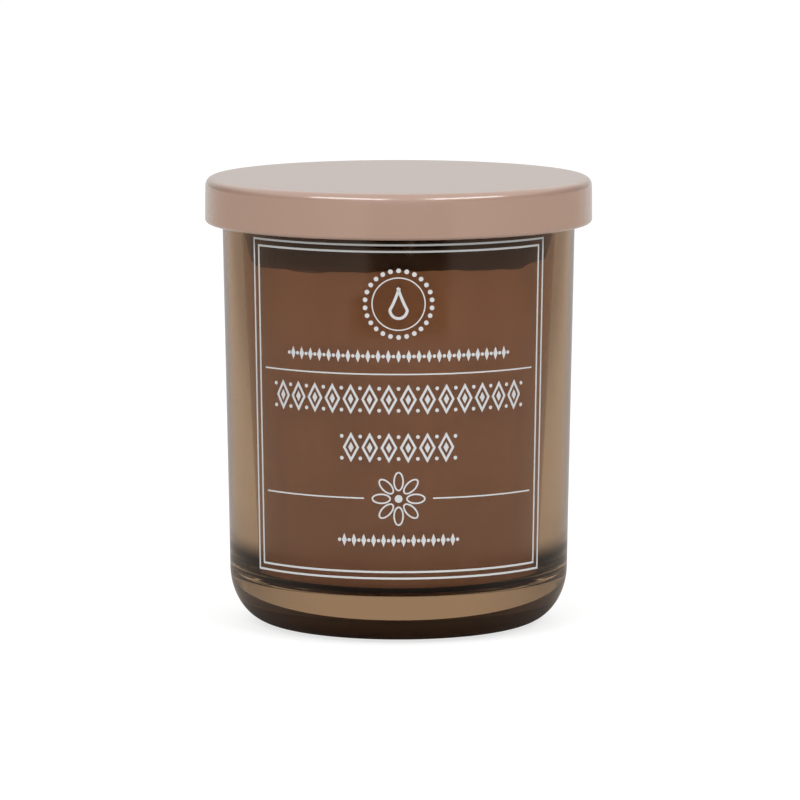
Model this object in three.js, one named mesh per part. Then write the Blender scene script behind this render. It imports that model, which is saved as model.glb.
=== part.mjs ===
// A small lidded jar candle: a tapered glass jar with a thick base, the wax poured into it,
// the wick that stands out of the wax, and a painted metal lid resting over the rim.
// Millimetres, +Z up. The origin is the centre of the base, on the surface the jar stands on.
import * as THREE from 'three';

// Whole object
const LID_DIAMETER = 70;
const OVERALL_HEIGHT = 80.9;
const CLEARANCE = 0.3;        // kept between pieces that touch
const SIDES = 72;             // sides of each turned solid
const ARC_STEPS = 3;          // half the number of chords in each rounded corner

// Jar: straight tapered walls over a foot that rounds in to a flat ring
const WALL_RADIUS_AT_BASE = 30.47;
const WALL_TAPER = 0.0191;    // radius gained for each millimetre of height
const FOOT_FLAT_RADIUS = 22.8;
const FOOT_ROUND_HEIGHT = 10.1;
const FOOT_ARC_STEPS = 5;
const RECESS_RADIUS = 17;
const RECESS_DEPTH = 0.6;
const BORE_RADIUS_AT_BASE = 24.95;
const BORE_TAPER = 0.049;
const FLOOR_HEIGHT = 8.2;
const FLOOR_CORNER_WIDTH = 5;     // the floor curves up to the wall over this width
const FLOOR_CORNER_HEIGHT = 2.6;  // and this height
const RIM_ROUND = 1.3;

// Lid: a drawn cap whose lower edge is rolled inwards
const LID_HEIGHT = 8.2;
const LID_SHEET = 0.8;
const LID_DRAFT = 0.07;       // the top is this much smaller in radius than the lower edge
const LID_EDGE_ROUND = 1.45;
const HEM_DEPTH = 2.2;
const HEM_WIDTH = 1.5;
const HEM_ROUND = 0.7;

// Wax and wick
const WAX_TOP = 66.1;         // level in the middle of the surface
const MENISCUS_RISE = 0.6;    // the wax climbs this far where it meets the wall
const MENISCUS_WIDTH = 2.4;
const WICK_RADIUS = 0.9;
const WICK_TIP_ROUND = 0.35;
const WICK_LENGTH = 6;        // length showing above the wax
const WICK_OFFSET = 2.2;      // the wick stands a little to the right of the axis
const WICK_SIDES = 16;

const JAR_HEIGHT = OVERALL_HEIGHT - LID_SHEET - CLEARANCE;
const LID_BOTTOM = OVERALL_HEIGHT - LID_HEIGHT;

const QUARTER = Math.PI / 2;

const glass = new THREE.MeshStandardMaterial({
  name: 'smoky_glass', color: 0x8a6a50, roughness: 0.03, metalness: 0, transparent: true, opacity: 0.45,
});
const paint = new THREE.MeshStandardMaterial({ name: 'lid_paint', color: 0xb29585, roughness: 0.25, metalness: 0 });
const wax = new THREE.MeshStandardMaterial({ name: 'wax', color: 0xd9a887, roughness: 0.55, metalness: 0 });
const cotton = new THREE.MeshStandardMaterial({ name: 'wick_cotton', color: 0xe8e0d0, roughness: 0.9, metalness: 0 });

function wallRadius(height) {
  return WALL_RADIUS_AT_BASE + WALL_TAPER * height;
}

function boreRadius(height) {
  return BORE_RADIUS_AT_BASE + BORE_TAPER * height;
}

// Turns a profile, drawn as radius and height with the material on its left, about the Z axis.
function turned(name, profile, arcSteps, material, sides = SIDES) {
  const geometry = new THREE.LatheGeometry(profile.getPoints(arcSteps), sides);
  geometry.rotateX(QUARTER);
  const mesh = new THREE.Mesh(geometry, material);
  mesh.name = name;
  return mesh;
}

function makeJar() {
  const footCentre = FOOT_FLAT_RADIUS;
  const footReach = wallRadius(FOOT_ROUND_HEIGHT) - footCentre;
  const rimStart = JAR_HEIGHT - RIM_ROUND;
  const boreStart = FLOOR_HEIGHT + FLOOR_CORNER_HEIGHT;
  const profile = new THREE.Path();
  profile.moveTo(0, RECESS_DEPTH);
  profile.lineTo(RECESS_RADIUS, RECESS_DEPTH);
  profile.lineTo(RECESS_RADIUS + RECESS_DEPTH, 0);
  for (let step = 0; step <= 2 * FOOT_ARC_STEPS; step += 1) {
    const turn = (QUARTER * step) / (2 * FOOT_ARC_STEPS);
    profile.lineTo(
      footCentre + footReach * Math.sin(turn),
      FOOT_ROUND_HEIGHT * (1 - Math.cos(turn)),
    );
  }
  profile.lineTo(wallRadius(rimStart), rimStart);
  profile.absarc(wallRadius(rimStart) - RIM_ROUND, rimStart, RIM_ROUND, 0, QUARTER, false);
  profile.absarc(boreRadius(rimStart) + RIM_ROUND, rimStart, RIM_ROUND, QUARTER, 2 * QUARTER, false);
  profile.lineTo(boreRadius(boreStart), boreStart);
  profile.absellipse(
    boreRadius(boreStart) - FLOOR_CORNER_WIDTH, boreStart,
    FLOOR_CORNER_WIDTH, FLOOR_CORNER_HEIGHT, 0, -QUARTER, true,
  );
  profile.lineTo(0, FLOOR_HEIGHT);
  return turned('jar', profile, ARC_STEPS, glass);
}

function makeWax() {
  const bottom = FLOOR_HEIGHT + CLEARANCE;
  const cornerWidth = FLOOR_CORNER_WIDTH - CLEARANCE;
  const cornerTop = FLOOR_HEIGHT + FLOOR_CORNER_HEIGHT;
  const cornerCentre = boreRadius(cornerTop) - FLOOR_CORNER_WIDTH;
  const edgeTop = WAX_TOP + MENISCUS_RISE;
  const edgeRadius = boreRadius(edgeTop) - CLEARANCE;
  const profile = new THREE.Path();
  profile.moveTo(0, bottom);
  profile.lineTo(cornerCentre, bottom);
  profile.absellipse(cornerCentre, cornerTop, cornerWidth, cornerTop - bottom, -QUARTER, 0, false);
  profile.lineTo(edgeRadius, edgeTop);
  profile.quadraticCurveTo(edgeRadius, WAX_TOP, edgeRadius - MENISCUS_WIDTH, WAX_TOP);
  profile.lineTo(0, WAX_TOP);
  return turned('wax', profile, ARC_STEPS, wax);
}

function makeWick() {
  const bottom = WAX_TOP + CLEARANCE;
  const top = WAX_TOP + WICK_LENGTH;
  const profile = new THREE.Path();
  profile.moveTo(0, bottom);
  profile.lineTo(WICK_RADIUS, bottom);
  profile.lineTo(WICK_RADIUS, top - WICK_TIP_ROUND);
  profile.lineTo(WICK_RADIUS - WICK_TIP_ROUND, top);
  profile.lineTo(0, top);
  const mesh = turned('wick', profile, ARC_STEPS, cotton, WICK_SIDES);
  mesh.position.x = WICK_OFFSET;
  return mesh;
}

function makeLid() {
  const radius = LID_DIAMETER / 2;
  const topRadius = radius - LID_DRAFT;
  const edgeHeight = OVERALL_HEIGHT - LID_EDGE_ROUND;
  const innerRound = LID_EDGE_ROUND - LID_SHEET;
  const hemInner = radius - HEM_WIDTH;
  const hemTop = LID_BOTTOM + HEM_DEPTH;
  const profile = new THREE.Path();
  profile.moveTo(0, OVERALL_HEIGHT - LID_SHEET);
  profile.lineTo(topRadius - LID_EDGE_ROUND, OVERALL_HEIGHT - LID_SHEET);
  profile.absarc(topRadius - LID_EDGE_ROUND, edgeHeight, innerRound, QUARTER, 0, true);
  profile.lineTo(radius - LID_SHEET, hemTop + HEM_ROUND);
  profile.lineTo(hemInner, hemTop);
  profile.lineTo(hemInner, LID_BOTTOM + HEM_ROUND);
  profile.absarc(hemInner + HEM_ROUND, LID_BOTTOM + HEM_ROUND, HEM_ROUND, 2 * QUARTER, 3 * QUARTER, false);
  profile.absarc(radius - HEM_ROUND, LID_BOTTOM + HEM_ROUND, HEM_ROUND, -QUARTER, 0, false);
  profile.lineTo(topRadius, edgeHeight);
  profile.absarc(topRadius - LID_EDGE_ROUND, edgeHeight, LID_EDGE_ROUND, 0, QUARTER, false);
  profile.lineTo(0, OVERALL_HEIGHT);
  return turned('lid', profile, ARC_STEPS, paint);
}

const candle = new THREE.Group();
candle.add(makeJar(), makeWax(), makeWick(), makeLid());

export default candle;
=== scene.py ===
"""Looks of a lidded jar candle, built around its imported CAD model.

Lengths are metres, +Z is up, and the printed front faces -Y.
"""
import math

import bpy
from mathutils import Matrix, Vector


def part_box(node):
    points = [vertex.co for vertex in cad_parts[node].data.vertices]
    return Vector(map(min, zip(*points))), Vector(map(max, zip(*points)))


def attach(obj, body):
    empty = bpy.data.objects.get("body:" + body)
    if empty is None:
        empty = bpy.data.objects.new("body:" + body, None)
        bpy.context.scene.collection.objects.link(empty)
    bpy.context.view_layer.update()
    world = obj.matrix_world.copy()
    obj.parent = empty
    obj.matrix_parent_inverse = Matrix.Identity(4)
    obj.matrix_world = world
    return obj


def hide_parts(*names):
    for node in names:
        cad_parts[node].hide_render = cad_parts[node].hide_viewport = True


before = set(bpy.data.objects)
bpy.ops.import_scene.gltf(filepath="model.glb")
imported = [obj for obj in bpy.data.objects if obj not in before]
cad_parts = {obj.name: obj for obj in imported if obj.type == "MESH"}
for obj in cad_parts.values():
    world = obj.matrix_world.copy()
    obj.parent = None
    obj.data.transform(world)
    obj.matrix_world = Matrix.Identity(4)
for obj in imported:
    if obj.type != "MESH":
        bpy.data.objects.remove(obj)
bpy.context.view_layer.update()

bl_info = {
    "name": "Lidded Jar Candle",
    "version": (1, 0, 0),
    "blender": (4, 5, 0),
    "location": "View3D > Sidebar > Candle",
    "description": "Makes a lidded jar candle around its CAD frame",
    "category": "Add Mesh",
}

MM = 0.001
BODY = "root"
FULL_TURN = 2 * math.pi
QUARTER_TURN = math.pi / 2
MERGE_DISTANCE = 0.0005 * MM
SHARP_ANGLE = math.radians(32)
GLASS_IOR = 1.52
WALL_STEPS = 24
FOOT_STEPS = 36
CORNER_STEPS = 28
RIM_STEPS = 10
HEM_STEPS = 8
LID_EDGE_STEPS = 16
WAX_STEPS = 20
WETTED_STEPS = 10

JAR_LOW, JAR_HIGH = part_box("jar")
LID_LOW, LID_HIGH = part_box("lid")
WAX_LOW, WAX_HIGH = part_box("wax")
WICK_LOW, WICK_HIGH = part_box("wick")


def length(name, description, default):
    """A length that a user may change."""
    return bpy.props.FloatProperty(
        name=name, description=description, default=default, unit="LENGTH", subtype="DISTANCE", precision=5
    )


def number(name, description, default):
    """A plain number that a user may change."""
    return bpy.props.FloatProperty(name=name, description=description, default=default, precision=4)


def angle(name, description, degrees):
    """An angle that a user may change."""
    return bpy.props.FloatProperty(
        name=name, description=description, default=math.radians(degrees), unit="ROTATION", subtype="ANGLE"
    )


def count(name, description, default):
    """A whole number that a user may change."""
    return bpy.props.IntProperty(name=name, description=description, default=default, min=1)


def colour(name, description, default):
    """A linear colour that a user may change."""
    return bpy.props.FloatVectorProperty(
        name=name, description=description, default=default, subtype="COLOR", size=3, min=0.0, max=1.0
    )


# Sizes and colours

class JarSizes(bpy.types.PropertyGroup):
    """Sizes of the glass jar."""
    sides: count("Sides", "Sides of each turned glass and wax piece", 192)
    height: length("Height", "Height of the rim", JAR_HIGH.z)
    wall_radius: length("Wall radius", "Outer radius, carried straight down to the base", 30.47 * MM)
    wall_taper: number("Wall taper", "Outer radius gained for each unit of height", 0.0191)
    foot_flat: length("Foot flat radius", "Where the rounded foot meets the floor", 22.8 * MM)
    foot_height: length("Foot height", "Height of the rounded foot", 10.1 * MM)
    recess_radius: length("Recess radius", "Radius of the shallow recess underneath", 17 * MM)
    recess_depth: length("Recess depth", "Depth of the shallow recess underneath", 0.6 * MM)
    bore_radius: length("Bore radius", "Inner radius, carried straight down to the base", 24.95 * MM)
    bore_taper: number("Bore taper", "Inner radius gained for each unit of height", 0.049)
    floor_height: length("Floor height", "Thickness of the base", 8.2 * MM)
    corner_width: length("Corner width", "Width of the curve from the floor to the wall", 5 * MM)
    corner_height: length("Corner height", "Height of the curve from the floor to the wall", 2.6 * MM)
    rim_round: length("Rim rounding", "Radius of the rounded rim", 1.3 * MM)
    # Below this height the glass takes the darker foot tint, which is partly a thicker coating and partly
    # painted shade under the foot.
    thick_coat_and_shade: length("Thick coat", "The coating is thicker below this height", 4.4 * MM)


class LidSizes(bpy.types.PropertyGroup):
    """Sizes of the metal lid."""
    sides: count("Sides", "Sides of the lid", 192)
    radius: length("Radius", "Outer radius of the lower edge", LID_HIGH.x)
    bottom: length("Bottom", "Height of the lower edge", LID_LOW.z)
    top: length("Top", "Height of the top", LID_HIGH.z)
    sheet: length("Sheet", "Thickness of the sheet", 0.8 * MM)
    draft: length("Draft", "The top is this much smaller in radius", 0.07 * MM)
    edge_round: length("Edge rounding", "Radius between the top and the side", 1.45 * MM)
    hem_depth: length("Hem depth", "Height of the rolled lower edge", 2.2 * MM)
    hem_width: length("Hem width", "Width of the rolled lower edge", 1.5 * MM)
    hem_round: length("Hem rounding", "Radius of the rolled lower edge", 0.7 * MM)


class WaxSizes(bpy.types.PropertyGroup):
    """Sizes of the wax."""
    edge: length("Edge", "Height where the wax meets the glass", WAX_HIGH.z)
    meniscus: length("Meniscus", "The middle of the surface lies this much lower", 0.6 * MM)
    meniscus_width: length("Meniscus width", "Width of the raised rim of the surface", 2.4 * MM)
    reach: length("Reach", "The wax reaches this far into the glass", 0.05 * MM)
    wetted: length("Wetted band", "Depth below the surface over which the wax's edge is uneven", 8 * MM)
    skin: length("Skin", "Thickness of the skin of wax on the wall", 0.25 * MM)
    climb: length("Climb", "Height that the skin climbs up the side and back wall", 5.4 * MM)
    climb_start: angle("Climb start", "Angle from the front where the skin starts to climb", 59)
    climb_end: angle("Climb end", "Angle from the front where the skin is at its full height", 66)


class WickSizes(bpy.types.PropertyGroup):
    """Sizes of the wick."""
    radius: length("Radius", "Radius of the wick", (WICK_HIGH.x - WICK_LOW.x) / 2)
    offset: length("Offset", "Distance to the right of the axis", (WICK_HIGH.x + WICK_LOW.x) / 2)
    top: length("Top", "Height of the tip", WICK_HIGH.z)
    sink: length("Sink", "Depth that the wick goes into the wax", 0.5 * MM)
    turns: number("Turns", "Turns of the twisted strands", 1.6)


class PrintSizes(bpy.types.PropertyGroup):
    """Sizes and places of the screen print, measured round the glass from the middle of the front."""
    ink: length("Ink", "Thickness of the ink", 0.06 * MM)
    proud: length("Proud", "Height of the ink's outer face above the glass", 0.04 * MM)
    line: length("Frame line", "Width of the lines of the frame", 0.36 * MM)
    outer_half_angle: angle("Outer frame", "Angle from the front to the outer frame's upright", 53.7)
    outer_bottom: length("Outer frame bottom", "Height of the outer frame's lower line", 12.21 * MM)
    outer_top: length("Outer frame top", "Height of the outer frame's upper line", 71.62 * MM)
    inner_half_angle: angle("Inner frame", "Angle from the front to the inner frame's upright", 51.3)
    inner_bottom: length("Inner frame bottom", "Height of the inner frame's lower line", 13.36 * MM)
    inner_top: length("Inner frame top", "Height of the inner frame's upper line", 70.45 * MM)
    rule: length("Rule", "Width of the two level rules", 0.25 * MM)
    rule_half_angle: angle("Rule half angle", "Angle from the front to the end of a rule", 48.7)
    upper_rule: length("Upper rule", "Height of the upper rule", 48.71 * MM)
    lower_rule: length("Lower rule", "Height of the lower rule", 26.55 * MM)
    rule_gap: length("Rule gap", "Half the gap in the lower rule for the rosette", 6.2 * MM)
    medallion: length("Medallion", "Height of the medallion's middle", 61.2 * MM)
    rosette: length("Rosette", "Height of the rosette's middle", 26.5 * MM)


class Finishes(bpy.types.PropertyGroup):
    """Colours of the finishes."""
    glass: colour("Glass coating", "Tint that the coating gives to light", (0.32, 0.20, 0.112))
    # The darker foot tint is partly a thicker coating and partly painted shade under the foot.
    foot: colour("Foot coating", "Tint of the thicker coating under the foot", (0.15, 0.10, 0.06))
    wax: colour("Wax", "Colour of the wax", (0.90, 0.575, 0.455))
    # Painted shade: the open surface is darkened as if it lay in the lid's shadow.
    open_wax_shade: number("Open wax", "Brightness of the open surface, as a share of the rest", 0.75)
    wick: colour("Wick", "Colour of the cotton", (0.78, 0.72, 0.60))
    paint: colour("Lid paint", "Colour of the painted lid", (0.312, 0.203, 0.155))
    ink: colour("Ink", "Colour of the screen print", (0.49, 0.505, 0.505))


class StageSettings(bpy.types.PropertyGroup):
    """Camera, floor and lights."""
    camera_place: bpy.props.FloatVectorProperty(
        name="Camera", description="Place of the camera", default=(0.00025, -1.062, 0.1773),
        subtype="TRANSLATION", unit="LENGTH", precision=5,
    )
    camera_tilt: angle("Camera tilt", "The camera looks down by this angle", 7.36)
    lens: number("Lens", "Focal length in millimetres", 265.35)
    floor_size: length("Floor size", "Radius of the pale floor", 2.0)
    backdrop: number("Backdrop", "Brightness of the white surroundings", 1.0)
    side_shade: number("Side shade", "How much darker it is low down to the left and right", 0.8)
    low_colour: colour("Low colour", "Colour of the surroundings low down", (0.63, 0.595, 0.575))
    softbox_power: number("Softbox power", "Power of each soft light in watts", 5.0)
    softbox_distance: length("Softbox distance", "Distance of the soft lights", 1.1)
    softbox_width: length("Softbox width", "Width of the soft lights", 0.8)
    softbox_depth: length("Softbox depth", "Depth of the soft lights", 0.3)
    softbox_left: angle("Left softbox", "Angle of one soft light to the left of the front", 33)
    softbox_right: angle("Right softbox", "Angle of the other soft light to the right of the front", 45)
    softbox_height: angle("Softbox height", "Angle of the soft lights above the floor", 42)


# Modelling

def select_only(piece):
    bpy.ops.object.select_all(action="DESELECT")
    piece.select_set(True)
    bpy.context.view_layer.objects.active = piece


def named(piece, name):
    piece.name = name
    piece.data.name = name
    return piece


def arc(centre, radii, start, end, steps):
    """Points of an elliptical arc in the plane of radius and height; angles are in quarter turns."""
    points = []
    for step in range(steps + 1):
        turn = QUARTER_TURN * (start + (end - start) * step / steps)
        points.append((centre[0] + radii[0] * math.cos(turn), centre[1] + radii[1] * math.sin(turn)))
    return points


def along(radius_at, start, end, steps):
    """Points up a tapered wall, the two ends left out."""
    heights = [start + (end - start) * step / steps for step in range(1, steps)]
    return [(radius_at(height), height) for height in heights]


def turned(name, profile, sides):
    """Extrudes a point along the profile and spins the chain about the Z axis."""
    bpy.ops.object.select_all(action="DESELECT")
    bpy.ops.mesh.primitive_plane_add(size=MM)
    piece = named(bpy.context.object, name)
    bpy.ops.object.mode_set(mode="EDIT")
    bpy.ops.mesh.select_all(action="SELECT")
    bpy.ops.mesh.merge(type="CENTER")
    bpy.ops.transform.translate(value=(profile[0][0], 0, profile[0][1]))
    for here, there in zip(profile, profile[1:]):
        bpy.ops.mesh.extrude_vertices_move(
            TRANSFORM_OT_translate={"value": (there[0] - here[0], 0, there[1] - here[1])}
        )
    bpy.ops.mesh.select_all(action="SELECT")
    bpy.ops.mesh.spin(steps=sides, angle=FULL_TURN, center=(0, 0, 0), axis=(0, 0, 1))
    bpy.ops.mesh.select_all(action="SELECT")
    bpy.ops.mesh.remove_doubles(threshold=MERGE_DISTANCE)
    bpy.ops.mesh.normals_make_consistent(inside=False)
    bpy.ops.object.mode_set(mode="OBJECT")
    bpy.ops.object.shade_smooth_by_angle(angle=SHARP_ANGLE)
    return piece


def cover(piece, *finishes):
    """Gives the piece its finishes, the first one everywhere."""
    piece.data.materials.clear()
    for finish in finishes:
        piece.data.materials.append(finish)


def hand_over(piece, node):
    """Rides the piece on the jar's body, in the place of a CAD node where one is named."""
    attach(piece, BODY)
    if node:
        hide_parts(node)


def outer_radius(height):
    jar = bpy.context.scene.candle_jar
    return jar.wall_radius + jar.wall_taper * height


def inner_radius(height):
    jar = bpy.context.scene.candle_jar
    return jar.bore_radius + jar.bore_taper * height


def smoothed(value, start, end):
    """0 before start, 1 after end and an even curve between."""
    part = min(max((value - start) / (end - start), 0.0), 1.0)
    return part * part * (3 - 2 * part)


# Shader nodes

class Signal:
    """An output socket whose arithmetic adds Math nodes."""

    def __init__(self, shader, socket):
        self.shader = shader
        self.socket = socket

    def __add__(self, other):
        return self.shader.math("ADD", self, other)

    def __radd__(self, other):
        return self.shader.math("ADD", other, self)

    def __sub__(self, other):
        return self.shader.math("SUBTRACT", self, other)

    def __rsub__(self, other):
        return self.shader.math("SUBTRACT", other, self)

    def __mul__(self, other):
        return self.shader.math("MULTIPLY", self, other)

    def __rmul__(self, other):
        return self.shader.math("MULTIPLY", other, self)

    def step(self, start, end):
        """0 before start, 1 after end and an even curve between."""
        return self.shader.node(
            "ShaderNodeMapRange", {"interpolation_type": "SMOOTHSTEP"},
            {"Value": self, "From Min": start, "From Max": end},
        )


class Shader:
    """The node tree of one material or of the world."""

    def __init__(self, owner):
        self.owner = owner
        owner.use_nodes = True
        self.tree = owner.node_tree
        self.tree.nodes.clear()

    def node(self, kind, settings=None, inputs=None, output=0):
        node = self.tree.nodes.new(kind)
        for setting, value in (settings or {}).items():
            setattr(node, setting, value)
        for key, value in (inputs or {}).items():
            if isinstance(value, Signal):
                self.tree.links.new(value.socket, node.inputs[key])
            else:
                node.inputs[key].default_value = value
        return Signal(self, node.outputs[output]) if node.outputs else None

    def math(self, operation, *operands):
        return self.node("ShaderNodeMath", {"operation": operation}, dict(enumerate(operands)))

    def axes(self, vector, names):
        """The named parts of a vector."""
        return [self.node("ShaderNodeSeparateXYZ", None, {"Vector": vector}, output=name) for name in names]

    def place(self, scale=(1, 1, 1)):
        """Object coordinates, stretched by a scale for each axis."""
        coordinates = self.node("ShaderNodeTexCoord", output="Object")
        return self.node("ShaderNodeMapping", None, {"Vector": coordinates, "Scale": scale})

    def noise(self, scale, detail=3.0, roughness=0.5, stretch=(1, 1, 1)):
        return self.node(
            "ShaderNodeTexNoise", None,
            {"Vector": self.place(stretch), "Scale": scale, "Detail": detail, "Roughness": roughness},
        )

    def blended(self, factor, low, high):
        """A colour between two, each a socket or three numbers."""
        low, high = (end if isinstance(end, Signal) else (*end, 1) for end in (low, high))
        return self.node("ShaderNodeMix", {"data_type": "RGBA"}, {0: factor, 6: low, 7: high}, output=2)

    def bump(self, height, strength, distance):
        return self.node(
            "ShaderNodeBump", None, {"Height": height, "Strength": strength, "Distance": distance}
        )

    def principled(self, **inputs):
        spelled = {name.replace("_", " "): value for name, value in inputs.items()}
        return self.node("ShaderNodeBsdfPrincipled", None, spelled)

    def finished(self, surface):
        kind = "World" if self.owner.id_type == "WORLD" else "Material"
        self.node("ShaderNodeOutput" + kind, None, {"Surface": surface})
        return self.owner


def new_finish(name):
    return Shader(bpy.data.materials.new(name))


def scaled(rgb, share):
    return tuple(channel * share for channel in rgb)


def grey(level):
    return (level, level, level)


def glass_finish(name, tint):
    """Pressed glass: faint finger marks in the gloss and a very slight wave in the surface."""
    shader = new_finish(name)
    marks = shader.noise(90.0, 4.0, 0.6).step(0.58, 0.78)
    wave = shader.noise(38.0, 1.0, 0.4, (1, 1, 0.35))
    return shader.finished(shader.principled(
        Base_Color=(*tint, 1), Roughness=marks * 0.035, IOR=GLASS_IOR, Transmission_Weight=1.0,
        Normal=shader.bump(wave, 0.12, 0.2 * MM),
    ))


def wax_colour(shader, rgb):
    """Wax that set against glass: faint upright streaks and cloudy mottling."""
    streaks = shader.noise(70.0, 3.0, 0.55, (1, 1, 0.12))
    clouds = shader.noise(160.0, 3.0, 0.6)
    mix = (streaks * 0.65 + clouds * 0.35).step(0.3, 0.7)
    return shader.blended(mix, scaled(rgb, 0.93), [min(channel * 1.06, 1.0) for channel in rgb])


def wax_wall_finish(rgb):
    """Wax a hair's breadth from the glass, whose thin film of air mirrors what meets it at a slant."""
    shader = new_finish("wax_against_glass")
    body = shader.principled(Base_Color=wax_colour(shader, rgb), Roughness=0.5, Specular_IOR_Level=0.0)
    mirror = shader.principled(Base_Color=(1, 1, 1, 1), Metallic=1.0, Roughness=0.03)
    slant = shader.node("ShaderNodeFresnel", None, {"IOR": 1 / GLASS_IOR})
    return shader.finished(shader.node("ShaderNodeMixShader", None, {0: slant, 1: body, 2: mirror}))


def wax_finish(rgb):
    """Open wax: cloudy, with a soft sheen and a slightly pitted surface; its colour comes in darkened as
    painted shade from the lid.
    """
    shader = new_finish("wax_open_shaded")
    pits = shader.noise(420.0, 3.0, 0.6)
    return shader.finished(shader.principled(
        Base_Color=wax_colour(shader, rgb), Roughness=0.45 + pits * 0.12,
        Normal=shader.bump(pits, 0.25, 0.15 * MM),
    ))


def cotton_finish(rgb):
    """Twisted cotton, with fine fibres and darker valleys."""
    shader = new_finish("wick_cotton")
    fibres = shader.noise(2600.0, 4.0, 0.7, (1, 1, 0.3))
    return shader.finished(shader.principled(
        Base_Color=shader.blended(fibres, scaled(rgb, 0.72), rgb), Roughness=0.8 + fibres * 0.15,
        Normal=shader.bump(fibres, 0.7, 0.12 * MM),
    ))


def paint_finish(rgb):
    """Glossy paint on sheet metal: orange peel, a slow drift of tone and a little dust."""
    shader = new_finish("lid_paint")
    drift = shader.noise(24.0, 2.0, 0.5)
    peel = shader.noise(900.0, 2.0, 0.5)
    dust = shader.noise(3200.0, 2.0, 0.6).step(0.66, 0.74)
    return shader.finished(shader.principled(
        Base_Color=shader.blended(drift, scaled(rgb, 0.97), scaled(rgb, 1.03)),
        Roughness=0.2 + drift * 0.06 + dust * 0.1,
        Coat_Weight=1.0, Coat_Roughness=0.11,
        Normal=shader.bump(peel, 0.12, 0.05 * MM),
    ))


def ink_finish(rgb):
    """Screen ink: a fine mesh grain and slightly uneven cover."""
    shader = new_finish("print_white")
    cover_grain = shader.noise(1500.0, 2.0, 0.5)
    return shader.finished(shader.principled(
        Base_Color=shader.blended(cover_grain, scaled(rgb, 0.94), rgb), Roughness=0.42 + cover_grain * 0.1,
        Normal=shader.bump(cover_grain, 0.2, 0.03 * MM),
    ))


# Pieces

class CANDLE_OT_jar(bpy.types.Operator):
    """Turn the glass jar and coat its outside"""
    bl_idname = "candle.jar"
    bl_label = "Jar"

    def execute(self, context):
        jar = context.scene.candle_jar
        foot_reach = outer_radius(jar.foot_height) - jar.foot_flat
        rim = jar.height - jar.rim_round
        corner_top = jar.floor_height + jar.corner_height
        corner_centre = inner_radius(corner_top) - jar.corner_width
        outside = [(0, jar.recess_depth), (jar.recess_radius, jar.recess_depth)]
        outside += [(jar.recess_radius + jar.recess_depth, 0)]
        outside += arc((jar.foot_flat, jar.foot_height), (foot_reach, jar.foot_height), -1, 0, FOOT_STEPS)
        outside += along(outer_radius, jar.foot_height, rim, WALL_STEPS)
        rim_radii = (jar.rim_round, jar.rim_round)
        outside += arc((outer_radius(rim) - jar.rim_round, rim), rim_radii, 0, 1, RIM_STEPS)
        inside = arc((inner_radius(rim) + jar.rim_round, rim), rim_radii, 1, 2, RIM_STEPS)
        inside += along(inner_radius, rim, corner_top, WALL_STEPS)
        inside += arc(
            (corner_centre, corner_top), (jar.corner_width, jar.corner_height), 0, -1, CORNER_STEPS
        )
        inside += [(0, jar.floor_height)]
        piece = turned("glass_jar", outside + inside, jar.sides)
        finishes = context.scene.candle_finishes
        # The third finish, the darker foot tint, is partly a thicker coating and partly painted shade under
        # the foot.
        cover(
            piece, glass_finish("coated_glass", finishes.glass), glass_finish("bare_glass", (1, 1, 1)),
            glass_finish("coated_foot_and_shade", finishes.foot),
        )
        for face in piece.data.polygons:
            middle = face.center
            radius = math.hypot(middle.x, middle.y)
            split = (outer_radius(middle.z) + inner_radius(middle.z)) / 2
            in_bore = middle.z > jar.floor_height - MERGE_DISTANCE and radius < split
            if in_bore:
                face.material_index = 1
            elif middle.z < jar.thick_coat_and_shade:
                face.material_index = 2
        hand_over(piece, "jar")
        return {"FINISHED"}


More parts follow.
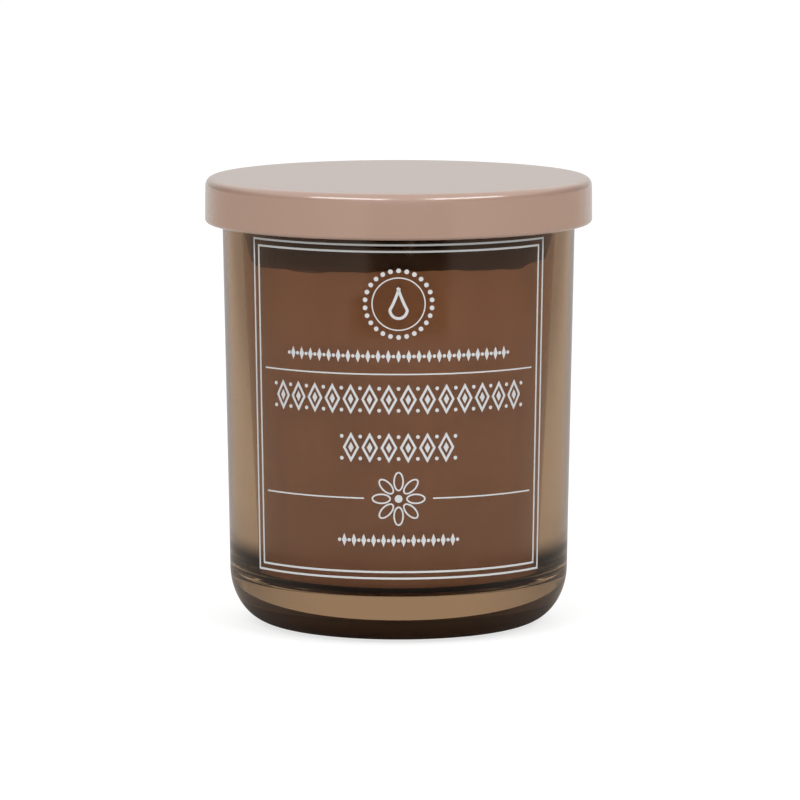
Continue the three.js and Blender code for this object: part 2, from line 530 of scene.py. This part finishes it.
class CANDLE_OT_wax(bpy.types.Operator):
    """Pour the wax, with the uneven line where it wetted the glass"""
    bl_idname = "candle.wax"
    bl_label = "Wax"

    # Lift of the wetting line at angles from the front, in degrees and millimetres
    WETTING = ((-180, 0.0), (-66, 0.2), (-50, -0.5), (-34, -0.6), (-16, -0.1), (0, 0.0), (18, 0.1),
               (32, 0.0), (46.5, -0.5), (50.5, 0.4), (62, 0.55), (180, 0.0))

    def lift(self, wax, turn):
        degrees = math.degrees(turn)
        for (start, low), (end, high) in zip(self.WETTING, self.WETTING[1:]):
            if start <= degrees <= end:
                level = (low + (high - low) * smoothed(degrees, start, end)) * MM
        ripple = 0.12 * math.sin(7 * turn + 1) + 0.08 * math.sin(17 * turn + 2) + 0.05 * math.sin(41 * turn)
        return level + ripple * MM + wax.climb * smoothed(abs(turn), wax.climb_start, wax.climb_end)

    def execute(self, context):
        jar = context.scene.candle_jar
        wax = context.scene.candle_wax
        corner_top = jar.floor_height + jar.corner_height
        corner_centre = inner_radius(corner_top) - jar.corner_width
        middle = wax.edge - wax.meniscus
        wetting_start = middle - wax.wetted
        lip = inner_radius(wax.edge) - wax.skin

        def wall(height):
            return inner_radius(height) + wax.reach

        profile = [(0, jar.floor_height - wax.reach)]
        profile += arc(
            (corner_centre, corner_top),
            (jar.corner_width + wax.reach, jar.corner_height + wax.reach), -1, 0, CORNER_STEPS,
        )
        profile += along(wall, corner_top, wetting_start, WAX_STEPS)
        profile += [(wall(wetting_start), wetting_start)]
        profile += along(wall, wetting_start, wax.edge, WETTED_STEPS)
        profile += [(wall(wax.edge), wax.edge), (lip, wax.edge)]
        rings = 12
        for ring in range(1, rings + 1):
            part = ring / rings
            profile.append((lip - wax.meniscus_width * part, middle + wax.meniscus * (1 - part) ** 2.5))
        profile.append((0, middle))
        piece = turned("poured_wax", profile, jar.sides)
        for vertex in piece.data.vertices:
            place = vertex.co
            radius = math.hypot(place.x, place.y)
            if place.z <= wetting_start or radius < lip - wax.meniscus_width:
                continue
            rise = self.lift(wax, math.atan2(place.x, -place.y))
            if radius > lip + wax.skin / 2:
                rise *= (place.z - wetting_start) / (wax.edge - wetting_start)
            else:
                rise *= max(0.0, (place.z - middle) / wax.meniscus) ** 2
            grown = 1 + jar.bore_taper * rise / radius
            vertex.co = Vector((place.x * grown, place.y * grown, place.z + rise))
        finishes = context.scene.candle_finishes
        # The open surface takes the wax colour darkened as painted shade from the lid.
        cover(piece, wax_finish(scaled(finishes.wax, finishes.open_wax_shade)), wax_wall_finish(finishes.wax))
        film_start = jar.floor_height + 0.06 * MM  # The flat bottom has no film of air
        for face in piece.data.polygons:
            radius = math.hypot(face.center.x, face.center.y)
            if face.center.z < corner_top:
                in_film = face.center.z > film_start
            else:
                in_film = radius > inner_radius(face.center.z) - wax.skin / 2
            face.material_index = 1 if in_film else 0
        hand_over(piece, "wax")
        return {"FINISHED"}


class CANDLE_OT_wick(bpy.types.Operator):
    """Twist the wick from three strands"""
    bl_idname = "candle.wick"
    bl_label = "Wick"

    STRANDS = 3
    POINTS_PER_STRAND = 8
    GROOVE = 0.2
    LAYERS = 40
    TIP_LAYERS = 3
    TIP_TAPER = 0.82

    def execute(self, context):
        wick = context.scene.candle_wick
        bottom = WAX_HIGH.z - context.scene.candle_wax.meniscus - wick.sink
        rise = (wick.top - bottom) / self.LAYERS
        bpy.ops.object.select_all(action="DESELECT")
        bpy.ops.mesh.primitive_circle_add(
            vertices=self.POINTS_PER_STRAND * self.STRANDS, radius=wick.radius, fill_type="NGON",
            location=(wick.offset, 0, bottom),
        )
        piece = named(bpy.context.object, "twisted_wick")
        bpy.ops.object.transform_apply(location=True, rotation=True, scale=True)
        axis = Vector((wick.offset, 0, 0))
        for vertex in piece.data.vertices:
            arm = vertex.co - axis
            crest = abs(math.cos(self.STRANDS / 2 * math.atan2(arm.y, arm.x)))
            lobe = 1 - self.GROOVE * (1 - crest)
            vertex.co = (axis.x + arm.x * lobe, arm.y * lobe, vertex.co.z)
        bpy.ops.object.mode_set(mode="EDIT")
        bpy.ops.mesh.select_all(action="SELECT")
        for layer in range(self.LAYERS):
            bpy.ops.mesh.extrude_region_move(TRANSFORM_OT_translate={"value": (0, 0, rise)})
            centre = (wick.offset, 0, bottom + rise * (layer + 1))
            bpy.ops.transform.rotate(
                value=FULL_TURN * wick.turns / self.LAYERS, orient_axis="Z", center_override=centre
            )
            if layer >= self.LAYERS - self.TIP_LAYERS:
                bpy.ops.transform.resize(value=(self.TIP_TAPER, self.TIP_TAPER, 1), center_override=centre)
        bpy.ops.mesh.select_all(action="SELECT")
        bpy.ops.mesh.normals_make_consistent(inside=False)
        bpy.ops.object.mode_set(mode="OBJECT")
        bpy.ops.object.shade_smooth_by_angle(angle=SHARP_ANGLE)
        cover(piece, cotton_finish(context.scene.candle_finishes.wick))
        hand_over(piece, "wick")
        return {"FINISHED"}


class CANDLE_OT_lid(bpy.types.Operator):
    """Draw the lid from sheet metal and roll its lower edge"""
    bl_idname = "candle.lid"
    bl_label = "Lid"

    def execute(self, context):
        lid = context.scene.candle_lid
        top_radius = lid.radius - lid.draft
        edge = (top_radius - lid.edge_round, lid.top - lid.edge_round)
        inner_round = lid.edge_round - lid.sheet
        hem_inner = lid.radius - lid.hem_width
        hem_top = lid.bottom + lid.hem_depth
        hem_level = lid.bottom + lid.hem_round
        hem_radii = (lid.hem_round, lid.hem_round)
        side_inner = lid.radius - lid.sheet

        def side(height):
            return lid.radius - lid.draft * (height - hem_level) / (edge[1] - hem_level)

        profile = [(0, lid.top - lid.sheet)]
        profile += arc(edge, (inner_round, inner_round), 1, 0, HEM_STEPS)
        profile += [(side_inner, hem_top + lid.hem_round)]
        profile += arc((side_inner - lid.hem_round, hem_top - lid.hem_round), hem_radii, 1, 2, HEM_STEPS)
        profile = [point for point in profile if point[0] <= side_inner]
        profile += arc((hem_inner + lid.hem_round, hem_level), hem_radii, 2, 3, HEM_STEPS)
        profile += arc((lid.radius - lid.hem_round, hem_level), hem_radii, 3, 4, RIM_STEPS)
        profile += along(side, hem_level, edge[1], WALL_STEPS // 2)
        profile += arc(edge, (lid.edge_round, lid.edge_round), 0, 1, LID_EDGE_STEPS)
        rings = 8
        profile += [(edge[0] * ring / rings, lid.top) for ring in reversed(range(rings))]
        piece = turned("painted_lid", profile, lid.sides)
        cover(piece, paint_finish(context.scene.candle_finishes.paint))
        hand_over(piece, "lid")
        return {"FINISHED"}


# Screen print: flat shapes in the plane of X and Z, joined, thickened and laid round the glass

PRINT_MIDDLE = 42 * MM
BEND_PITCH = 0.8 * MM
FRONT = (QUARTER_TURN, 0, 0)


def round_length(turn):
    """Length round the glass at the print's middle height for an angle from the front."""
    return turn * outer_radius(PRINT_MIDDLE)


def flat_shape(corners, half_width, half_height, centre, stroke=0.0):
    """A flat lozenge, disc or oval facing the front; with a stroke, only its outline."""
    bpy.ops.object.select_all(action="DESELECT")
    bpy.ops.mesh.primitive_circle_add(
        vertices=corners, radius=1, fill_type="NGON", rotation=FRONT, location=(centre[0], 0, centre[1])
    )
    return stretched(half_width, half_height, stroke)


def flat_box(low, high, stroke=0.0):
    """A flat upright rectangle facing the front; with a stroke, only its outline."""
    bpy.ops.object.select_all(action="DESELECT")
    bpy.ops.mesh.primitive_plane_add(
        size=1, rotation=FRONT, location=((low[0] + high[0]) / 2, 0, (low[1] + high[1]) / 2)
    )
    return stretched(high[0] - low[0], high[1] - low[1], stroke)


def stretched(width, height, stroke):
    """Gives the new flat shape its width and height, and hollows it out if it has a stroke."""
    shape = bpy.context.object
    shape.scale = (width, height, 1)
    bpy.ops.object.transform_apply(location=True, rotation=True, scale=True)
    if stroke:
        hollow(stroke)
    return shape


def hollow(stroke):
    """Insets the active shape's face and takes out its middle."""
    bpy.ops.object.mode_set(mode="EDIT")
    bpy.ops.mesh.select_all(action="SELECT")
    bpy.ops.mesh.inset(thickness=stroke, depth=0)
    bpy.ops.mesh.delete(type="FACE")
    bpy.ops.object.mode_set(mode="OBJECT")


def copies(shape, moves):
    """The shape and a copy of it for each move, each with its own mesh."""
    made = [shape]
    for move in moves:
        select_only(shape)
        bpy.ops.object.duplicate(linked=False)
        bpy.ops.transform.translate(value=(move[0], 0, move[1]))
        bpy.ops.object.transform_apply(location=True, rotation=True, scale=True)
        made.append(bpy.context.object)
    return made


def turned_copies(shape, number_of_copies, centre):
    """The shape and copies of it, spaced evenly round a centre."""
    made = [shape]
    for index in range(1, number_of_copies):
        select_only(shape)
        bpy.ops.object.duplicate(linked=False)
        bpy.ops.transform.rotate(
            value=FULL_TURN * index / number_of_copies, orient_axis="Y",
            center_override=(centre[0], 0, centre[1]),
        )
        bpy.ops.object.transform_apply(location=True, rotation=True, scale=True)
        made.append(bpy.context.object)
    return made


def laid_on_glass(name, shapes, context):
    """Joins flat shapes, cuts them fine enough to bend, thickens them and lays them round the glass."""
    prints = context.scene.candle_print
    bpy.ops.object.select_all(action="DESELECT")
    for shape in shapes:
        shape.select_set(True)
    bpy.context.view_layer.objects.active = shapes[0]
    if len(shapes) > 1:
        bpy.ops.object.join()
    piece = named(bpy.context.object, name)
    reach = max(abs(vertex.co.x) for vertex in piece.data.vertices)
    cuts = int(reach / BEND_PITCH)
    bpy.ops.object.mode_set(mode="EDIT")
    for cut in range(-cuts, cuts + 1):
        bpy.ops.mesh.select_all(action="SELECT")
        bpy.ops.mesh.bisect(plane_co=(cut * BEND_PITCH, 0, 0), plane_no=(1, 0, 0))
    bpy.ops.object.mode_set(mode="OBJECT")
    thickness = piece.modifiers.new("ink", "SOLIDIFY")
    thickness.thickness = prints.ink
    thickness.offset = 0
    bpy.ops.object.modifier_apply(modifier=thickness.name)
    for vertex in piece.data.vertices:
        turn = vertex.co.x / outer_radius(PRINT_MIDDLE)
        radius = outer_radius(vertex.co.z) + prints.proud - prints.ink / 2 - vertex.co.y
        vertex.co = (radius * math.sin(turn), -radius * math.cos(turn), vertex.co.z)
    cover(piece, bpy.data.materials.get("print_white") or ink_finish(context.scene.candle_finishes.ink))
    hand_over(piece, None)


class CANDLE_OT_frame(bpy.types.Operator):
    """Print the double frame and the two level rules"""
    bl_idname = "candle.frame"
    bl_label = "Printed frame"

    def execute(self, context):
        prints = context.scene.candle_print
        half_line = prints.line / 2
        half_rule = prints.rule / 2
        frames = []
        for turn, bottom, top in (
            (prints.outer_half_angle, prints.outer_bottom, prints.outer_top),
            (prints.inner_half_angle, prints.inner_bottom, prints.inner_top),
        ):
            side = round_length(turn) + half_line
            frames.append(flat_box((-side, bottom - half_line), (side, top + half_line), prints.line))
        laid_on_glass("print_frame", frames, context)
        end = round_length(prints.rule_half_angle)
        gap = prints.rule_gap
        upper, lower = prints.upper_rule, prints.lower_rule
        rules = [
            flat_box((left, height - half_rule), (right, height + half_rule))
            for left, right, height in ((-end, end, upper), (-end, -gap, lower), (gap, end, lower))
        ]
        laid_on_glass("print_rules", rules, context)
        return {"FINISHED"}


class CANDLE_OT_medallion(bpy.types.Operator):
    """Print a beaded ring with a small flame in it"""
    bl_idname = "candle.medallion"
    bl_label = "Printed medallion"

    BEADS = 26
    BEAD_RADIUS = 0.42 * MM
    BEAD_RING_RADIUS = 5.9 * MM
    RING_RADIUS = 4.75 * MM
    RING_LINE = 0.22 * MM
    FLAME_RADIUS = 1.75 * MM
    FLAME_DROP = 1.05 * MM
    FLAME_LINE = 0.5 * MM

    def flame(self, base):
        """A disc whose upper half is drawn up to a point."""
        shape = flat_shape(40, self.FLAME_RADIUS, self.FLAME_RADIUS, (0, base))
        for vertex in shape.data.vertices:
            height = vertex.co.z - base
            if height > 0:
                part = min(height / self.FLAME_RADIUS, 1.0)
                vertex.co.x *= (1 - part) ** 0.35
                vertex.co.z = base + height * (1 + 1.35 * part ** 2)
        select_only(shape)
        hollow(self.FLAME_LINE)
        return shape

    def execute(self, context):
        middle = context.scene.candle_print.medallion
        bead = flat_shape(14, self.BEAD_RADIUS, self.BEAD_RADIUS, (0, middle + self.BEAD_RING_RADIUS))
        shapes = turned_copies(bead, self.BEADS, (0, middle))
        shapes.append(flat_shape(64, self.RING_RADIUS, self.RING_RADIUS, (0, middle), self.RING_LINE))
        shapes.append(self.flame(middle - self.FLAME_DROP))
        laid_on_glass("print_medallion", shapes, context)
        return {"FINISHED"}


class CANDLE_OT_borders(bpy.types.Operator):
    """Print the rows of lozenges, the rows of dots and the rosette"""
    bl_idname = "candle.borders"
    bl_label = "Printed borders"

    # Corners, half width, half height and stroke of each shape; a stroke of 0 is filled in
    LOZENGE = (4, 1.5 * MM, 2.7 * MM, 0.42 * MM)
    HEART = (4, 0.5 * MM, 0.95 * MM, 0)
    SPOT = (12, 0.34 * MM, 0.34 * MM, 0)
    DOT = (12, 0.32 * MM, 0.32 * MM, 0)
    GRAIN = (4, 0.46 * MM, 1.15 * MM, 0)
    PETAL = (20, 0.95 * MM, 1.75 * MM, 0.28 * MM)
    BUTTON = (20, 0.7 * MM, 0.7 * MM, 0)

    LOZENGE_PITCH = 3.42 * MM
    SPOT_RISE = 1.95 * MM
    DOT_PITCH = 1.8 * MM
    PETALS = 8
    PETAL_REACH = 3.1 * MM

    # Name, steps and height of each row
    BORDERS = (("print_upper_border", 14, 44.2 * MM), ("print_lower_border", 6, 35.6 * MM))
    DOT_ROWS = (("print_upper_dots", 24, 51.9 * MM), ("print_lower_dots", 13, 19.0 * MM))

    def shape(self, kind, centre):
        corners, half_width, half_height, stroke = kind
        return flat_shape(corners, half_width, half_height, centre, stroke)

    def row(self, kind, pitch, steps, height):
        """Copies a shape along a row that is centred on the front."""
        first = self.shape(kind, (-pitch * (steps - 1) / 2, height))
        return copies(first, [(pitch * step, 0) for step in range(1, steps)])

    def execute(self, context):
        for name, steps, height in self.BORDERS:
            shapes = self.row(self.LOZENGE, self.LOZENGE_PITCH, steps, height)
            shapes += self.row(self.HEART, self.LOZENGE_PITCH, steps, height)
            for level in (height - self.SPOT_RISE, height + self.SPOT_RISE):
                shapes += self.row(self.SPOT, self.LOZENGE_PITCH, steps + 1, level)
            laid_on_glass(name, shapes, context)
        for name, steps, height in self.DOT_ROWS:
            shapes = self.row(self.DOT, self.DOT_PITCH, steps, height)
            shapes += self.row(self.GRAIN, self.DOT_PITCH, steps - 1, height)
            laid_on_glass(name, shapes, context)
        middle = context.scene.candle_print.rosette
        petal = self.shape(self.PETAL, (0, middle + self.PETAL_REACH))
        shapes = turned_copies(petal, self.PETALS, (0, middle))
        shapes.append(self.shape(self.BUTTON, (0, middle)))
        laid_on_glass("print_rosette", shapes, context)
        return {"FINISHED"}


# Stage

FLOOR_LEVEL = -0.2 * MM
MIRRORED_LEVEL = -0.1 * MM
REFRACTED_LEVEL = -0.05 * MM
CARD_RADIUS = 1.5
WALL_HEIGHT = 1.2
CARD_SIDES = 96


def staged(name, material):
    """Names the new object and gives it its material."""
    thing = named(bpy.context.object, name)
    thing.data.materials.append(material)
    return thing


def stage_disc(name, radius, height, material):
    bpy.ops.object.select_all(action="DESELECT")
    bpy.ops.mesh.primitive_circle_add(
        vertices=CARD_SIDES, radius=radius, fill_type="NGON", location=(0, 0, height)
    )
    return staged(name, material)


def floor_finish():
    """Pale floor that glows by itself as well, which keeps its shadows faint."""
    shader = new_finish("pale_floor")
    grain = shader.noise(30.0, 3.0, 0.5)
    return shader.finished(shader.principled(
        Base_Color=shader.blended(grain, grey(0.28), grey(0.32)), Roughness=0.9,
        Emission_Color=(1, 1, 1, 1), Emission_Strength=0.72,
    ))


def studio_finish(name, level):
    """A glowing card, whose colour follows from the distances to the right of the jar and behind it."""
    shader = new_finish(name)
    right, behind = shader.axes(shader.place(), "XY")
    glow = {"Color": level(shader, right, behind), "Strength": 1.0}
    return shader.finished(shader.node("ShaderNodeEmission", None, glow))


def from_axis(shader, right, behind):
    """Distance from the jar's axis."""
    return shader.math("SQRT", right * right + behind * behind)


def mirrored_studio(shader, right, behind):
    """Pale, with painted shadow close by in front and a dark patch that paints the reflection of the
    camera.
    """
    far = from_axis(shader, right, behind)
    side = shader.math("ARCTAN2", right, 0 - behind)
    turn = shader.math("ABSOLUTE", side)
    near_sides = far.step(0.022, 0.04) * turn.step(0.1, 1.2) * 0.6
    pale = shader.math("MAXIMUM", far.step(0.055, 0.13), near_sides)
    spread = side + (1 - far.step(0.44, 0.47)) * 0.2
    patch = spread.step(-0.42, -0.22) * (1 - side.step(0.45, 0.65)) * far.step(0.37, 0.4)
    front = shader.blended(far.step(0.3, 0.5), (0.62, 0.54, 0.47), (0.60, 0.45, 0.36))
    full = shader.blended(turn.step(2.2, 2.7), front, (0.64, 0.60, 0.58))
    # Painted shadow near the jar and the painted camera reflection, both dark grey.
    return shader.blended(pale * (1 - patch), grey(0.015), full)


def refracted_studio(shader, right, behind):
    """White, with painted shadow: dark under the jar and greyer near it, and painted shade towards the left
    and right.
    """
    far = from_axis(shader, right, behind)
    beside = shader.math("ABSOLUTE", right)
    middle = shader.blended(far.step(0.3, 0.5), grey(0.93), grey(1.12))
    # Painted shade towards the left and right.
    full = shader.blended(beside.step(0.12, 0.24), middle, grey(0.55))
    # Painted shadow: a dark disc under and around the foot.
    return shader.blended(far.step(0.069, 0.086), grey(0.02), full)


def refracted_walls(shader, right, behind):
    """White behind and in front, with painted shade: greyer towards the left and right and dark at their
    far ends.
    """
    beside = shader.math("ABSOLUTE", right)
    full = shader.blended(beside.step(0.3, 1.4), grey(1), grey(0.6))
    return shader.blended(beside.step(1.28, 1.38), full, grey(0.2))


def white_surroundings(strength, side_shade, low_colour):
    """White overhead, and darker low down, most of all to the left and to the right."""
    shader = Shader(bpy.data.worlds.new("white_surroundings"))
    across, up = shader.axes(shader.node("ShaderNodeTexCoord", output="Generated"), "XZ")
    beside = shader.math("ABSOLUTE", across)
    shade = beside.step(0.25, 0.85) * (1 - up.step(0.3, 0.7)) * side_shade
    level = shader.blended(up.step(0.1, 0.6), low_colour, grey(1))
    glow = {"Color": shader.blended(shade, level, grey(0)), "Strength": strength}
    return shader.finished(shader.node("ShaderNodeBackground", None, glow))


class CANDLE_OT_stage(bpy.types.Operator):
    """Set up the floor, the lights and the camera"""
    bl_idname = "candle.stage"
    bl_label = "Stage"

    def add_cards(self):
        """Cards that show only in reflections, or only through the glass."""
        mirrored = stage_disc(
            "mirrored_studio", CARD_RADIUS, MIRRORED_LEVEL,
            studio_finish("mirrored_studio", mirrored_studio),
        )
        refracted = stage_disc(
            "refracted_studio", CARD_RADIUS, REFRACTED_LEVEL,
            studio_finish("refracted_studio", refracted_studio),
        )
        bpy.ops.mesh.primitive_cylinder_add(
            vertices=CARD_SIDES, radius=CARD_RADIUS, depth=WALL_HEIGHT, end_fill_type="NOTHING",
            location=(0, 0, WALL_HEIGHT / 2),
        )
        walls = staged("refracted_walls", studio_finish("refracted_walls", refracted_walls))
        for card in (mirrored, refracted, walls):
            card.visible_camera = False
            card.visible_diffuse = False
            card.visible_shadow = False
        mirrored.visible_transmission = False
        refracted.visible_glossy = False
        walls.visible_glossy = False

    def add_softbox(self, scene, name, side):
        stage = scene.candle_stage
        light = bpy.data.lights.new(name, "AREA")
        light.shape = "RECTANGLE"
        light.size = stage.softbox_width
        light.size_y = stage.softbox_depth
        light.energy = stage.softbox_power
        softbox = bpy.data.objects.new(name, light)
        softbox.visible_transmission = False
        scene.collection.objects.link(softbox)
        level = stage.softbox_distance * math.cos(stage.softbox_height)
        softbox.location = (
            level * math.sin(side), -level * math.cos(side),
            stage.softbox_distance * math.sin(stage.softbox_height),
        )
        softbox.rotation_euler = (QUARTER_TURN - stage.softbox_height, 0, side)

    def add_camera(self, scene):
        stage = scene.candle_stage
        lens = bpy.data.cameras.new("camera")
        lens.lens = stage.lens
        camera = bpy.data.objects.new("camera", lens)
        scene.collection.objects.link(camera)
        camera.location = stage.camera_place
        camera.rotation_euler = (QUARTER_TURN - stage.camera_tilt, 0, 0)
        scene.camera = camera

    def execute(self, context):
        scene = context.scene
        stage = scene.candle_stage
        stage_disc("floor", stage.floor_size, FLOOR_LEVEL, floor_finish())
        self.add_cards()
        scene.world = white_surroundings(stage.backdrop, stage.side_shade, stage.low_colour)
        self.add_softbox(scene, "softbox_left", -stage.softbox_left)
        self.add_softbox(scene, "softbox_right", stage.softbox_right)
        self.add_camera(scene)
        scene.view_settings.view_transform = "Standard"
        scene.cycles.use_denoising = True
        scene.cycles.max_bounces = 24
        scene.cycles.transmission_bounces = 24
        scene.cycles.glossy_bounces = 24
        scene.cycles.diffuse_bounces = 8
        return {"FINISHED"}


class CANDLE_PT_panel(bpy.types.Panel):
    """Lists the steps that make the candle"""
    bl_idname = "CANDLE_PT_panel"
    bl_label = "Lidded Jar Candle"
    bl_space_type = "VIEW_3D"
    bl_region_type = "UI"
    bl_category = "Candle"

    def draw(self, context):
        for operator in OPERATORS:
            self.layout.operator(operator.bl_idname)


GROUPS = {
    "candle_jar": JarSizes,
    "candle_lid": LidSizes,
    "candle_wax": WaxSizes,
    "candle_wick": WickSizes,
    "candle_print": PrintSizes,
    "candle_finishes": Finishes,
    "candle_stage": StageSettings,
}
OPERATORS = (
    CANDLE_OT_jar,
    CANDLE_OT_wax,
    CANDLE_OT_wick,
    CANDLE_OT_lid,
    CANDLE_OT_frame,
    CANDLE_OT_medallion,
    CANDLE_OT_borders,
    CANDLE_OT_stage,
)


def register():
    for group in GROUPS.values():
        bpy.utils.register_class(group)
    for name, group in GROUPS.items():
        setattr(bpy.types.Scene, name, bpy.props.PointerProperty(type=group))
    for operator in OPERATORS:
        bpy.utils.register_class(operator)
    bpy.utils.register_class(CANDLE_PT_panel)


def unregister():
    bpy.utils.unregister_class(CANDLE_PT_panel)
    for operator in reversed(OPERATORS):
        bpy.utils.unregister_class(operator)
    for name in GROUPS:
        delattr(bpy.types.Scene, name)
    for group in reversed(GROUPS.values()):
        bpy.utils.unregister_class(group)


def main():
    register()
    for operator in OPERATORS:
        group, name = operator.bl_idname.split(".")
        getattr(getattr(bpy.ops, group), name)()


if __name__ == "__main__":
    main()
